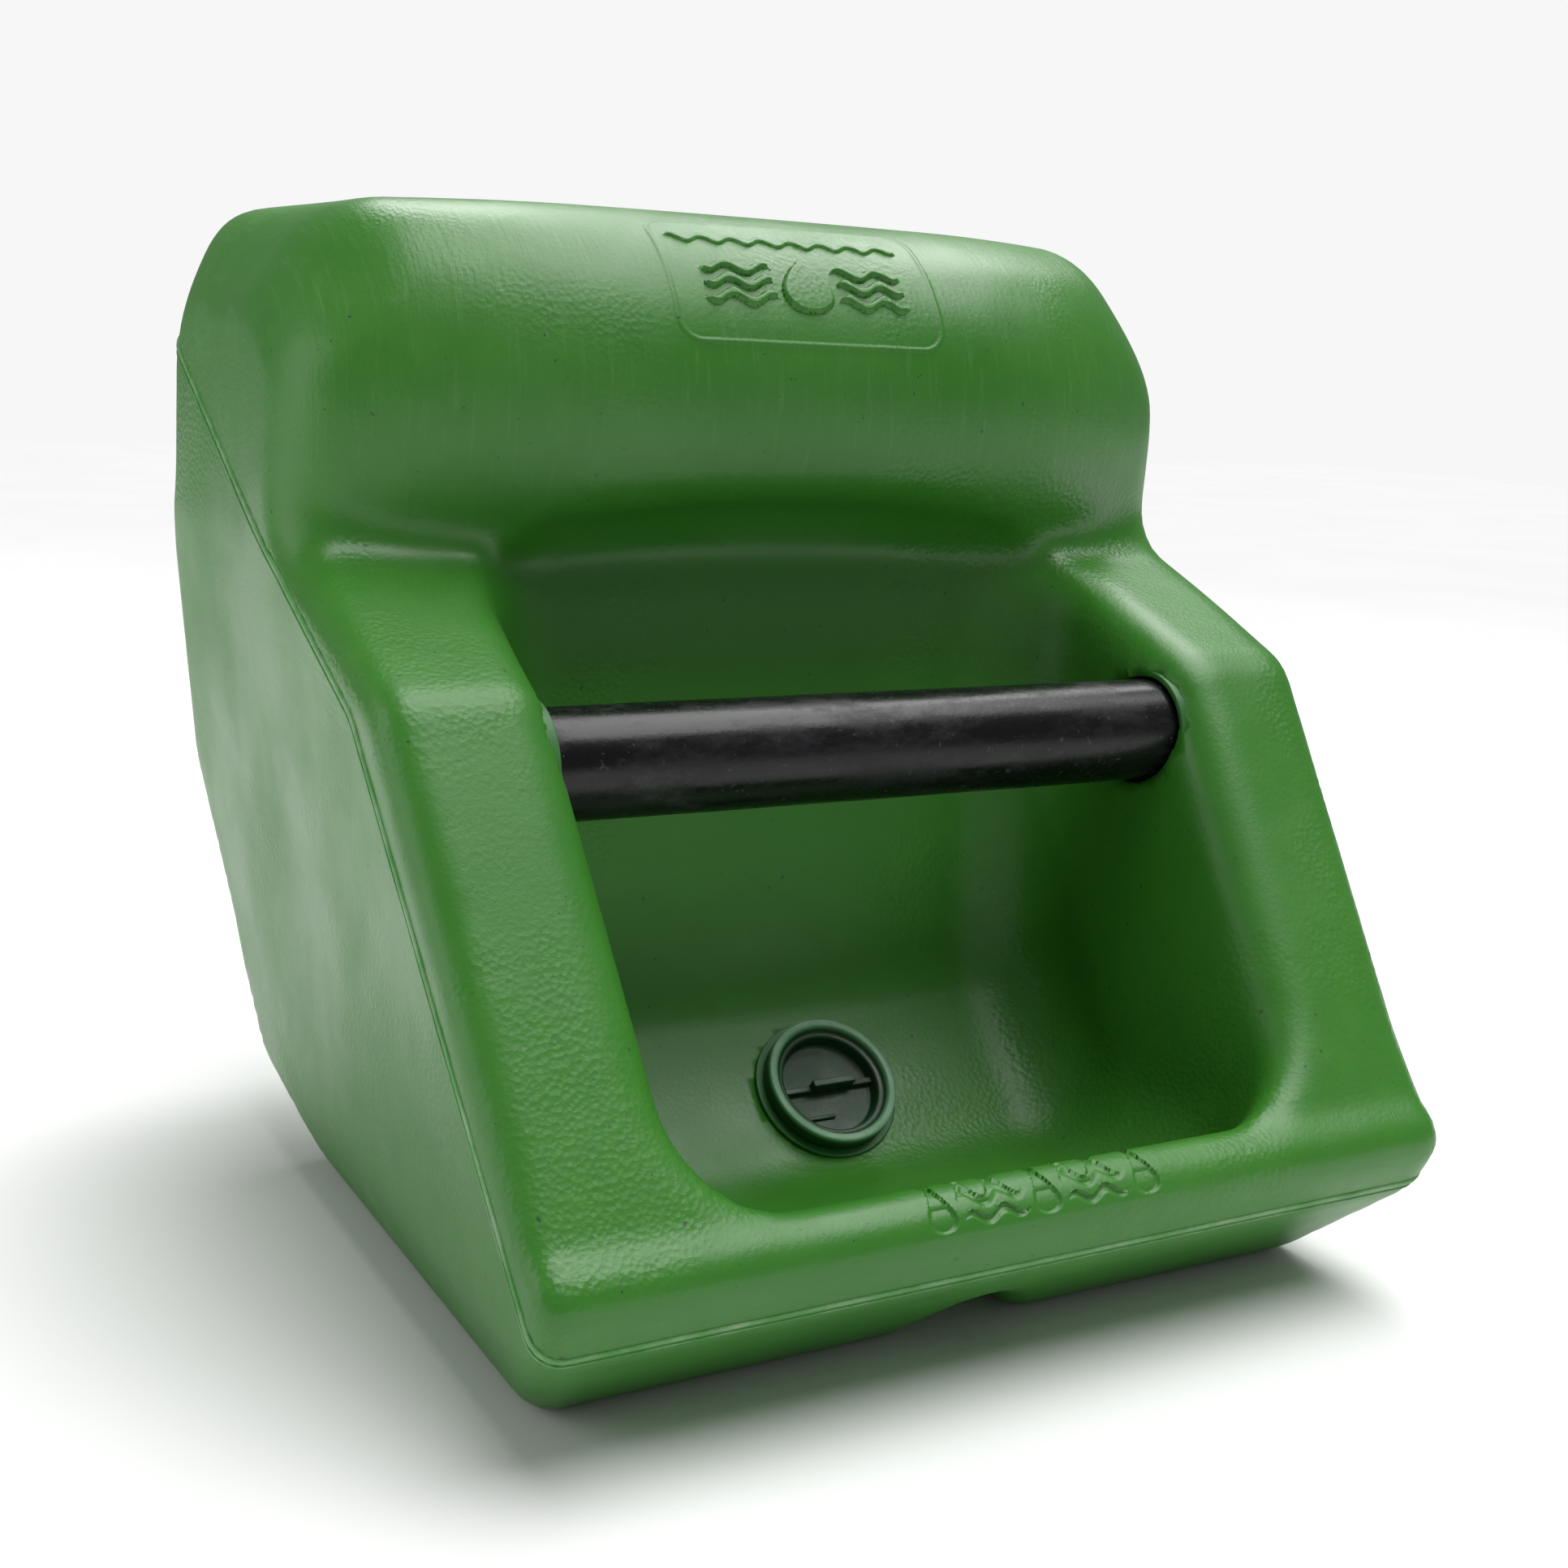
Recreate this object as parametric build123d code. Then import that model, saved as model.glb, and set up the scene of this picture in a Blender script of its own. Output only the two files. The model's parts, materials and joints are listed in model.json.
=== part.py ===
from build123d import *
import math
import os

# Animal drinking fountain: a hollow reservoir body with a hood, a deep bowl, a bar across it and a
# screw plug in the bowl floor. Millimetres, +X right, +Y back, +Z up, feet on z = 0.
# Heights and depths below are measured from the lip's foremost edge (y = 0) and the feet (z = 0);
# every finished piece is then moved by TO_ORIGIN, so that the origin is the bottom's centre.

# ---- driving dimensions -------------------------------------------------------------------------
WALL = 5.0                      # moulded wall of the shells
DEPTH = 413.0                   # lip to back
HEIGHT = 409.0                  # feet to top of the hood
HALF_FOOT = 168.0               # half widths, from the feet up
HALF_BASE = 187.0
HALF_SHOULDER = 203.0
HALF_TOP = 206.0
FACE_FOOT = (0.0, 66.0)         # (y, z) of the foot of the arms' front face
SEAM_FRONT = (6.0, 46.0)        # (y, z) where the seam turns under the lip
SHOULDER = (122.0, 236.0)       # where the arms turn into the ledges
NECK = (222.0, 277.0)           # where the ledges meet the hood
SEAM_BEND = (148.0, 226.0)      # where the seam turns up to the back
SEAM_BACK_Z = 357.0             # height at which the seam crosses the back
EDGE_RADIUS = 17.0              # long side edges of the lower body
SHOULDER_RADIUS = 30.0
BACK_BEND = (DEPTH, 161.0)      # where the back turns into the lower chamfer
BOTTOM_BACK = (303.0, 0.0)      # where the chamfer meets the bottom
BOTTOM_FRONT = (50.0, 0.0)      # the feet's front edge
SEAM_BEAD_WIDTH = 2.4
SEAM_SWELL = 1.004              # how far the bead stands out, as a part of the body's size

HOOD_RADIUS = 75.0              # hood nose, seen from the side
HOOD_FRONT = 187.0              # y of the hood's foremost point
HOOD_SIDE_FRONT = 224.0         # y of the hood's front at its sides
HOOD_FLAT_HALF = 100.0          # half width over which the hood's front is straight
HOOD_SWEEP_RADIUS = 120.0       # where its straight front turns back towards the sides
HOOD_CHIN_Z = 300.0             # height at which the nose turns under
HOOD_CHIN_RADIUS = 30.0
HOOD_ROOT = (226.0, 240.0)      # (y, z) of its foot, inside the lower body
HOOD_LEAN = 4.0                 # how far its sides lean in at the top
HOOD_CORNER = 58.0              # radius of the hood's top corners, seen from the front
HOOD_SIDE_RADIUS = 24.0         # its upright front edges, seen from above
BACK_RADIUS = 50.0              # its top edge at the back

FOOT_GAP_HALF = 26.0            # half width of the groove between the foot lobes
FOOT_GAP_HEIGHT = 20.0
FOOT_GAP_TOP_HALF = 12.0        # half width of the groove's flat roof

LIP_TOP = (18.0, 88.0)          # (y, z) of the lip's inner edge
POOL_FRONT_Y = 40.0             # y of the foot of the lip's inner wall
POOL_RADII = (16.0, 10.0)       # the pool's front and rear bottom corners
RAMP_TOP_RADIUS = 28.0
POOL_Z = 34.0                   # lowest level of the bowl
RAMP_TOP_Y = 190.0              # y where the sloping floor meets the bowl's rear wall
REAR_TOP = (226.0, 286.0)       # (y, z) of the top of the bowl's rear wall
REAR_TOP_RADIUS = 14.0
ROOF_FRONT_Y = 188.0            # y of the front edge of the bowl's roof
ROOF_Z = 303.0
POCKET_HALF_LOW = 124.0         # half widths of the bowl: at the feet's level, bar and roof
POCKET_HALF_BAR = 136.0
POCKET_HALF_ROOF = 128.5
POCKET_WIDE_Z = 240.0           # the bowl narrows again above this height

BAR_AT = (139.0, 206.0)         # (y, z) of the bar's axis
BAR_RADIUS = 21.1
BAR_WALL = 3.2
BAR_HALF = 154.0                # half the tube's length
CAP_LIP = 2.5
CAP_DEPTH = 14.0
SOCKET_GAP = 0.8                # radial clearance of the bar in its sockets
SOCKET_WALL = 2.6
SOCKET_END_GAP = 1.5            # between the bar's cap and the socket's blind end
SOCKET_MOUTH_X = 120.0          # the socket is cut back from here to the bowl's wall
SOCKET_BORE = BAR_RADIUS + SOCKET_GAP
SOCKET_RADIUS = SOCKET_BORE + SOCKET_WALL
SOCKET_HALF = BAR_HALF + CAP_LIP + SOCKET_END_GAP + SOCKET_WALL

FLOOR_TILT = 43.0               # slope of the bowl floor at the plug, degrees
PORT_AT = (157.1, 58.4)         # (y, z) of the port's centre on the bowl floor
PORT_BORE = 23.3
PORT_NECK = 27.0
PORT_NECK_DEPTH = 20.0
PORT_FLANGE = 31.0
FLANGE_THICK = 2.0
GASKET_THICK = 1.0
GASKET_RADIUS = 30.0
FLANGE_TOP = GASKET_THICK + FLANGE_THICK
NUT_RADIUS = 34.0
NUT_THICK = 6.0
NUT_NOTCHES = 8
NOTCH_RADIUS = 3.0
NECK_GAP = 0.15
WASHER_THICK = 1.5
WASHER_RADIUS = 27.0
WASHER_BORE = 23.3
PLUG_RADIUS = 28.0
PLUG_HEAD = 5.5
PLUG_RIM = 4.4
PLUG_SPIGOT = 22.95
PLUG_SPIGOT_DEPTH = 15.0
PLUG_CUP_DEPTH = 9.0
CUP_WALL = 2.4
RIB_THICK = 3.0
LOW_RIB_HEIGHT = 3.0            # the cross rib by the cup's wall
TALL_RIB_HEIGHT = 6.5           # its raised middle
OVERCUT = 1.0                   # how far a cutting tool runs past the face it cuts

BEAD_AT_BACK = DEPTH * (SEAM_SWELL - 1) / 2
TO_ORIGIN = Pos(0, -(DEPTH + BEAD_AT_BACK) / 2, 0)


# ---- helpers ------------------------------------------------------------------------------------
def outline(points, radii):
    """A closed flat face through the points, with each corner rounded by its radius."""
    return make_face(FilletPolyline(*points, radius=radii, close=True))


def across(face):
    """A side profile, drawn as (y, z), extruded across the whole width and beyond."""
    return extrude(Plane.YZ * face, amount=2 * HALF_TOP, both=True)


def through(face):
    """A front outline, drawn as (x, z), extruded from front to back and beyond."""
    return extrude(Plane.XZ * face, amount=2 * DEPTH, both=True)


def upright(face):
    """A plan outline, drawn as (x, y), extruded through the whole height and beyond."""
    return extrude(face, amount=2 * HEIGHT, both=True)


def mirrored(points):
    """Points of a right-hand half outline, followed by their mirror images."""
    return points + [(-x, z) for x, z in reversed(points)]


def grown(face, amount):
    return offset(face, amount=amount, kind=Kind.INTERSECTION) if amount else face


# ---- body ---------------------------------------------------------------------------------------
def lower_body(growth):
    """The arms, ledges, sides, back and bottom, solid, grown outwards by growth."""
    side = outline(
        [BOTTOM_FRONT, SEAM_FRONT, FACE_FOOT, SHOULDER, NECK, (DEPTH, NECK[1]), BACK_BEND,
         BOTTOM_BACK],
        [0, 0, 0, SHOULDER_RADIUS, 0, 0, 0, 0],
    )
    front = outline(
        mirrored([(HALF_FOOT, 0), (HALF_BASE, SEAM_FRONT[1]), (HALF_TOP, NECK[1]),
                  (HALF_TOP, 2 * HEIGHT)]),
        0,
    )
    body = across(grown(side, growth)) & through(grown(front, growth))
    rounded = [edge for edge in body.edges() if is_long_side_edge(edge)]
    return fillet(rounded, EDGE_RADIUS)


def is_long_side_edge(edge):
    """True for the edges where the lip, arms, ledges and bottom meet the sides."""
    centre = edge.center()
    at_side = abs(centre.X) > HALF_FOOT
    along_side = abs(edge.tangent_at(0.5).X) < 0.5
    above_base = centre.Z > SEAM_FRONT[1] + WALL
    return at_side and along_side and above_base and centre.Y < NECK[0] and centre.Z < NECK[1]


def hood(growth):
    """The bulging top, solid, with its nose forward of its sides."""
    nose = HOOD_FRONT - growth
    side_nose = HOOD_SIDE_FRONT - growth
    top = HEIGHT + growth
    back = DEPTH + growth
    half = HALF_TOP + growth
    side = outline(
        [(nose, top), (back, top), (back, HOOD_ROOT[1]), HOOD_ROOT, (nose, HOOD_CHIN_Z)],
        [HOOD_RADIUS + growth, BACK_RADIUS + growth, 0, 0, HOOD_CHIN_RADIUS],
    )
    front = outline(
        mirrored([(HALF_SHOULDER + growth, 0), (half, NECK[1]), (half - HOOD_LEAN, top)]),
        [0, 0, HOOD_CORNER + growth, HOOD_CORNER + growth, 0, 0],
    )
    plan = outline(
        mirrored([(HOOD_FLAT_HALF, nose), (half, side_nose), (half, 2 * DEPTH)]),
        [HOOD_SWEEP_RADIUS, HOOD_SIDE_RADIUS + growth, 0, 0, HOOD_SIDE_RADIUS + growth,
         HOOD_SWEEP_RADIUS],
    )
    return across(side) & through(front) & upright(plan)


def foot_gap(growth):
    """The groove that parts the bottom into two foot lobes."""
    below = -2 * FOOT_GAP_HEIGHT
    groove = outline(
        mirrored([(FOOT_GAP_HALF, below), (FOOT_GAP_HALF, 0), (FOOT_GAP_TOP_HALF, FOOT_GAP_HEIGHT)]),
        0,
    )
    return through(grown(groove, -growth))


def whole_body(growth=0.0):
    return lower_body(growth) + hood(growth) - foot_gap(growth)


def pocket(growth=0.0):
    """The space of the drinking bowl, from the pool up to the hood, open to the front."""
    slope = math.tan(math.radians(FLOOR_TILT))
    ramp_foot = (PORT_AT[0] - (PORT_AT[1] - POOL_Z) / slope, POOL_Z)
    ramp_top = (RAMP_TOP_Y, PORT_AT[1] + (RAMP_TOP_Y - PORT_AT[0]) * slope)
    open_front = -WALL * 4
    side = outline(
        [(open_front, LIP_TOP[1]), LIP_TOP, (POOL_FRONT_Y, POOL_Z), ramp_foot, ramp_top, REAR_TOP,
         (ROOF_FRONT_Y, ROOF_Z), (open_front, ROOF_Z)],
        [0, 0, *POOL_RADII, RAMP_TOP_RADIUS, REAR_TOP_RADIUS, 0, 0],
    )
    front = outline(
        mirrored([(POCKET_HALF_LOW, 0), (POCKET_HALF_BAR, BAR_AT[1]), (POCKET_HALF_BAR, POCKET_WIDE_Z),
                  (POCKET_HALF_ROOF, ROOF_Z)]),
        0,
    )
    return across(grown(side, growth)) & through(grown(front, growth))


# ---- places and simple shapes -------------------------------------------------------------------
def front_zone(shift=0.0):
    """Everything in front of the seam, moved back by shift."""
    far = 2 * DEPTH
    zone = outline(
        [(-far, SEAM_FRONT[1]), SEAM_FRONT, SEAM_BEND, (DEPTH, SEAM_BACK_Z), (far, SEAM_BACK_Z),
         (far, far), (-far, far)],
        0,
    )
    return across(grown(zone, shift))


def bar_rod(radius, low_x, high_x):
    """A round rod on the bar's axis, between two values of x."""
    return Plane.YZ * Pos(*BAR_AT, (low_x + high_x) / 2) * Cylinder(radius, high_x - low_x)


def at_port():
    """The bowl floor at the port: local z points out of the floor, along the plug's axis."""
    tilt = math.radians(FLOOR_TILT)
    outward = (0, -math.sin(tilt), math.cos(tilt))
    return Plane(origin=(0, *PORT_AT), x_dir=(1, 0, 0), z_dir=outward)


def disc(radius, low, high):
    """A round slice on the port's axis, between two heights above the bowl floor."""
    return at_port() * Pos(0, 0, (low + high) / 2) * Cylinder(radius, high - low)


def ring(radius, bore, low, high):
    return disc(radius, low, high) - disc(bore, low - OVERCUT, high + OVERCUT)


# ---- shells -------------------------------------------------------------------------------------
def shells():
    """The front moulding with its bowl, and the rear moulding with its feet."""
    skin = whole_body() - whole_body(-WALL)
    liner = whole_body() & pocket(WALL)
    zone = front_zone()
    front = (skin & zone) + liner - pocket()
    front -= disc(PORT_NECK + NECK_GAP, -2 * WALL, WALL)
    front -= bar_rod(SOCKET_RADIUS, -SOCKET_HALF, SOCKET_HALF)
    rear = skin - zone - pocket(WALL)
    return front, rear


def seam_weld():
    """The thin raised bead that lies over the seam, all the way round the body."""
    band = front_zone(SEAM_BEAD_WIDTH / 2) - front_zone(-SEAM_BEAD_WIDTH / 2)
    recentre = (SEAM_SWELL - 1) / 2
    swollen = Pos(0, -recentre * DEPTH, -recentre * HEIGHT) * scale(whole_body(), by=SEAM_SWELL)
    return (swollen - whole_body()) & band


# ---- crossbar -----------------------------------------------------------------------------------
def crossbar_tube():
    bore = bar_rod(BAR_RADIUS - BAR_WALL, -BAR_HALF - OVERCUT, BAR_HALF + OVERCUT)
    return bar_rod(BAR_RADIUS, -BAR_HALF, BAR_HALF) - bore


def crossbar_cap(side):
    """A push-in cap: a plug inside the tube with a thin lip over its end."""
    plug = bar_rod(BAR_RADIUS - BAR_WALL, *sorted((side * (BAR_HALF - CAP_DEPTH), side * BAR_HALF)))
    lip = bar_rod(BAR_RADIUS, *sorted((side * BAR_HALF, side * (BAR_HALF + CAP_LIP))))
    hollow_end = side * (BAR_HALF - CAP_DEPTH - OVERCUT)
    hollow = bar_rod(BAR_RADIUS - 2 * BAR_WALL, *sorted((hollow_end, side * (BAR_HALF - CAP_LIP))))
    return plug + lip - hollow


def bar_socket(side):
    """A blind cup that takes the bar's end, flush with the bowl's wall at its mouth."""
    cup = bar_rod(SOCKET_RADIUS, *sorted((side * SOCKET_MOUTH_X, side * SOCKET_HALF)))
    bore_end = side * (SOCKET_HALF - SOCKET_WALL)
    bore = bar_rod(SOCKET_BORE, *sorted((side * (SOCKET_MOUTH_X - OVERCUT), bore_end)))
    return cup - bore - pocket()


# ---- port and plug ------------------------------------------------------------------------------
def port_flange():
    """The threaded neck through the bowl floor, with its flange on the gasket."""
    flange = disc(PORT_FLANGE, GASKET_THICK, FLANGE_TOP)
    neck = disc(PORT_NECK, -PORT_NECK_DEPTH, FLANGE_TOP)
    return flange + neck - disc(PORT_BORE, -PORT_NECK_DEPTH - OVERCUT, FLANGE_TOP + OVERCUT)


def port_nut():
    """The lock nut under the floor, with grip notches round its rim."""
    top = -WALL
    nut = ring(NUT_RADIUS, PORT_NECK, top - NUT_THICK, top)
    for index in range(NUT_NOTCHES):
        notch = Rot(0, 0, 360 * index / NUT_NOTCHES) * Pos(NUT_RADIUS, 0, top - NUT_THICK / 2)
        nut -= at_port() * notch * Cylinder(NOTCH_RADIUS, NUT_THICK + 2 * OVERCUT)
    return nut


def plug_head():
    """The screw plug: ring rim, sunk cup, cross grip with a raised middle, and its spigot."""
    seat = FLANGE_TOP + WASHER_THICK
    top = seat + PLUG_HEAD
    cup_floor = top - PLUG_CUP_DEPTH
    cup_radius = PLUG_SPIGOT - CUP_WALL
    plug = disc(PLUG_RADIUS, seat, top) + disc(PLUG_SPIGOT, -PLUG_SPIGOT_DEPTH, seat)
    plug -= disc(PLUG_RADIUS - PLUG_RIM, seat + CUP_WALL, top + OVERCUT)
    plug -= disc(cup_radius, cup_floor, top + OVERCUT)
    plug -= disc(cup_radius, -PLUG_SPIGOT_DEPTH - OVERCUT, cup_floor - CUP_WALL)
    long_rib = Box(2 * cup_radius + OVERCUT, RIB_THICK, LOW_RIB_HEIGHT)
    tall_rib = Box(PLUG_SPIGOT, RIB_THICK, TALL_RIB_HEIGHT)
    plug += at_port() * Pos(0, 0, cup_floor + LOW_RIB_HEIGHT / 2) * long_rib
    plug += at_port() * Pos(0, 0, cup_floor + TALL_RIB_HEIGHT / 2) * tall_rib
    return plug


# ---- all pieces ---------------------------------------------------------------------------------
def pieces():
    front, rear = shells()
    return {
        "front_shell": front,
        "rear_shell": rear,
        "seam_weld": seam_weld(),
        "bar_socket_left": bar_socket(-1),
        "bar_socket_right": bar_socket(1),
        "crossbar_tube": crossbar_tube(),
        "crossbar_cap_left": crossbar_cap(-1),
        "crossbar_cap_right": crossbar_cap(1),
        "port_gasket": ring(GASKET_RADIUS, PORT_NECK, 0, GASKET_THICK),
        "port_flange": port_flange(),
        "port_nut": port_nut(),
        "plug_washer": ring(WASHER_RADIUS, WASHER_BORE, FLANGE_TOP, FLANGE_TOP + WASHER_THICK),
        "plug_head": plug_head(),
    }


os.makedirs("parts", exist_ok=True)
for name, piece in pieces().items():
    export_step(TO_ORIGIN * piece, f"parts/{name}.step")
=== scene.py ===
import json
import math

import bmesh
import bpy
import numpy as np
from mathutils import Matrix, Vector, noise


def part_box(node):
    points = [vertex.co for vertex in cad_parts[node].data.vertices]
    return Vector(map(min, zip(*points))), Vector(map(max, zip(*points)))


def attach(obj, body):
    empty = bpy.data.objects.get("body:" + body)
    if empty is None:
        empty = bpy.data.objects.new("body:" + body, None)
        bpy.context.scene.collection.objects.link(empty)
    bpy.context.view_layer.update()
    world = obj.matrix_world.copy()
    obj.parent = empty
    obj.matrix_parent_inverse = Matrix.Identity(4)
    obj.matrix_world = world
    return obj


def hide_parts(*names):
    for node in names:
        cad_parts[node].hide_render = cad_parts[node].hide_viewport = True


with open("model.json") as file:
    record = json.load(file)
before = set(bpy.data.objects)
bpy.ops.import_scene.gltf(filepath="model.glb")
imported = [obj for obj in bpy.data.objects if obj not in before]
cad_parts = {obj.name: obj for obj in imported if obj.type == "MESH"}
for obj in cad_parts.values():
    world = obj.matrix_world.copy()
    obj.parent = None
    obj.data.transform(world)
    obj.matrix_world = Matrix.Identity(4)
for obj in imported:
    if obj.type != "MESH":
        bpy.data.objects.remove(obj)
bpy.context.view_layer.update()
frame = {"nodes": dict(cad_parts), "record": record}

# Shapes are worked out in millimetres, in the body's own frame: x to the right of its middle, y back
# from the lip's foremost edge, z up from the feet. to_row() turns them into the row frame's metres.
MM = 0.001
SHELL_LOW, SHELL_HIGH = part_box("front_shell")
LIP_Y = SHELL_LOW.y
JOINTS = {joint["name"]: joint for joint in frame["record"]["behaviour"]["joints"]}

HALF_TOP = SHELL_HIGH.x / MM
HEIGHT = SHELL_HIGH.z / MM
DEPTH = (SHELL_HIGH.y - SHELL_LOW.y) / MM
BAR_AXIS = Vector(JOINTS["crossbar_spin"]["pos_m"])
PORT_AT = Vector(JOINTS["plug_turn"]["pos_m"])
PORT_AXIS = Vector(JOINTS["plug_turn"]["axis"]).normalized()

# side profile, as (y, z)
BOTTOM_FRONT = (58, 0)
SEAM_FRONT = (6, 46)
FACE_FOOT = (2.2, 65)
LIP_ROLL = (12.2, 65)
LIP_ROLL_RADIUS = 10
LIP_ROLL_EASE = 9
ARM_RADII = (30, 9, 28)             # at the seam, the foot of the arms' face and the shoulder
NECK_EASE = 18                      # between the ledges and the hood
SHOULDER = (122, 236)
NECK = (222, 277)
SEAM_BEND = (148, 226)
SEAM_BACK = (413, 357)
BACK_BEND = (413, 161)
BOTTOM_BACK = (303, 0)
REAR_RADII = (20, 30)
# front profile, as (half width, z)
FOOT_EDGE = (168, 0)
BASE_EDGE = (187, 46)
WAIST_EDGE = (206, 277)
CROWN_EDGE = (203, 409)
SIDE_RADII = (110, 40)
GROOVE_EDGE = (26, 0)
GROOVE_TOP = (12, 20)
GROOVE_RADIUS = 6
GROOVE_EASE = 8
# hood
NOSE = (262, 334)
NOSE_RADIUS = 75
BROW = (285, 319)
BROW_SIZE = (61, 85)
HOOD_FOOT_Z = 250
TURN_START = 80                     # the half width where the nose starts to fall back
TURN_SPAN = 125
CROWN_DROP = 5                      # how much lower the top is at its sides
# drinking bowl
LIP_TOP = (18, 88)
POOL_FRONT = (40, 34)
POOL_Z = 34
RAMP_TOP_Y = 190
REAR_TOP = (226, 286)
ROOF_FRONT = (188, 303)
ROOF_ARCH = 11
ROOF_HALF = 122
ROOF_RADIUS = 16
POCKET_WIDTHS = ((0, 124), (206, 137), (240, 139), (303, 137))     # (z, half width) at the mouth
POCKET_DRAFT = 0.14                 # how much the bowl narrows with depth behind the arms' face
DRAFT_DEPTH = 90
POCKET_RADII = (34, 30, 18)
POCKET_SIDE_RADIUS = 36
BOWL_REACH = 6                      # how near the bowl's space a face of the bowl lies
BOWL_FOOT_Z = 30

CELL = 4.8                          # of the grid that the body is sampled on
WALL = 5.0
BAR_HOLE = 22.4                     # radii of the round holes in the front moulding
PORT_HOLE = 27.15
BOWL_SIDE = (110, 165)              # where the bar's holes are, from the middle plane
BEAD_STEP = 2.5


# ---- distance fields ----------------------------------------------------------------------------
def left_of(u, v, start, end):
    """Distance to the line from start to end, positive on its left."""
    du = end[0] - start[0]
    dv = end[1] - start[1]
    return ((v - start[1]) * du - (u - start[0]) * dv) / math.hypot(du, dv)


def round_and(a, b, radius):
    """What is inside both fields, with the edge between them rounded."""
    corner = np.hypot(np.maximum(a + radius, 0), np.maximum(b + radius, 0))
    return np.minimum(np.maximum(a, b), -radius) + corner


def share(value, low, high):
    """0 below low, 1 above high, smooth between them."""
    t = np.clip((value - low) / (high - low), 0, 1)
    return t * t * (3 - 2 * t)


def eased_and(a, b, ease):
    """What is inside both fields, with their edge eased off over a span of ease."""
    return np.maximum(a, b) + np.maximum(ease - np.abs(a - b), 0) ** 2 / (4 * ease)


def outline(u, v, points, radii):
    """An open convex outline, positive on its left, with each inner corner rounded."""
    field = left_of(u, v, points[0], points[1])
    for k, radius in enumerate(radii, 1):
        before, corner, after = (Vector(point) for point in points[k - 1 : k + 2])
        turn = (corner - before).angle(after - corner)
        ease = 4 * radius * (1 - math.cos(turn / 2))
        field = eased_and(field, left_of(u, v, corner, after), ease)
    return field


def sides(half, z):
    """The sides: leaning out from the feet to the waist, then in again to the crown."""
    return outline(half, z, (CROWN_EDGE, WAIST_EDGE, BASE_EDGE, FOOT_EDGE), SIDE_RADII)


def hood(half, y, z):
    """The bulging top: its nose is a round bar in the middle that falls back towards the sides."""
    nose = np.hypot(np.maximum(NOSE[0] - y, 0), z - NOSE[1]) - NOSE_RADIUS
    across = np.maximum(BROW[0] - y, 0) / BROW_SIZE[0]
    above = np.maximum(z - BROW[1], 0) / BROW_SIZE[1]
    brow = (np.hypot(across, above) - 1) * BROW_SIZE[0]
    turn = np.clip((half - TURN_START) / TURN_SPAN, 0, 1) ** 2
    crown = z - (HEIGHT - CROWN_DROP * (half / HALF_TOP) ** 2)
    return np.maximum(eased_and((1 - turn) * nose + turn * brow, crown, 1), HOOD_FOOT_Z - z)


def solid_body(half, y, z):
    """The whole body without its bowl. half is the distance from the middle plane."""
    arms = outline(y, z, (BOTTOM_FRONT, SEAM_FRONT, FACE_FOOT, SHOULDER, NECK), ARM_RADII)
    roll = np.hypot(y - LIP_ROLL[0], z - LIP_ROLL[1]) - LIP_ROLL_RADIUS
    arms = -eased_and(-arms, -roll, LIP_ROLL_EASE)
    front = -eased_and(-arms, -hood(half, y, z), NECK_EASE)
    back_top = (DEPTH, HEIGHT)
    rear = outline(y, z, (back_top, BACK_BEND, BOTTOM_BACK, BOTTOM_FRONT), REAR_RADII)
    # the back and side edges are crisp low down and soft on the hood
    body = eased_and(front, rear, 6.5 + 26 * share(z, 200, 350))
    low_edge = 9 + 5 * share(z, 72, 105)
    high_edge = 10 + (26 - 12 * share(y, 280, 400)) * share(z, 335, 385)
    return round_and(body, sides(half, z), low_edge + high_edge * share(z, 250, 300))


def pocket_width(y, z):
    """Half the bowl's width, which narrows towards its back."""
    heights, widths = zip(*POCKET_WIDTHS)
    depth = np.clip(-left_of(y, z, FACE_FOOT, SHOULDER), 0, DRAFT_DEPTH)
    return np.interp(z, heights, widths) - POCKET_DRAFT * depth


def pocket(half, y, z):
    """The space of the drinking bowl: pool, sloping floor, rear wall and arched roof."""
    port_y = (PORT_AT.y - LIP_Y) / MM
    port_z = PORT_AT.z / MM
    slope = -PORT_AXIS.y / PORT_AXIS.z
    ramp_foot = (port_y - (port_z - POOL_Z) / slope, POOL_Z)
    ramp_top = (RAMP_TOP_Y, port_z + (RAMP_TOP_Y - port_y) * slope)
    space = outline(y, z, (REAR_TOP, ramp_top, ramp_foot, POOL_FRONT, LIP_TOP), POCKET_RADII)
    arched = z + ROOF_ARCH * (half / ROOF_HALF) ** 2
    space = round_and(space, left_of(y, arched, ROOF_FRONT, REAR_TOP), ROOF_RADIUS)
    return round_and(space, half - pocket_width(y, z), POCKET_SIDE_RADIUS)


def plain_body(x, y, z):
    """Distance to the skin of the whole body, negative inside, without its small relief."""
    half = np.abs(x)
    rim = 19 - 13 * share(z, 262, 296)      # softer along the arms than under the hood
    body = eased_and(solid_body(half, y, z), -pocket(half, y, z), rim)
    groove = round_and(left_of(half, z, GROOVE_TOP, GROOVE_EDGE), z - GROOVE_TOP[1], GROOVE_RADIUS)
    return eased_and(body, -groove, GROOVE_EASE)


# ---- moulded relief -----------------------------------------------------------------------------
EMBLEM_ANGLE = math.radians(38)     # how far round the nose the emblem sits
EMBLEM_HALF = (60, 32)              # half sizes of the faint rounded frame round it
EMBLEM_FRAME_V = 6                  # how far above the emblem's middle the frame's middle is
EMBLEM_CORNER = 10
EMBLEM_RISE = 2.0
FRAME_RISE = 0.35
LIP_MARK_Z = 73.5
LIP_MARK_HALF = (52, 7)
LIP_MARK_BACK = 26
LIP_MARK_DEPTH = 1.2
EDGE_SOFTNESS = 0.45                # half the width over which the relief rises


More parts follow.
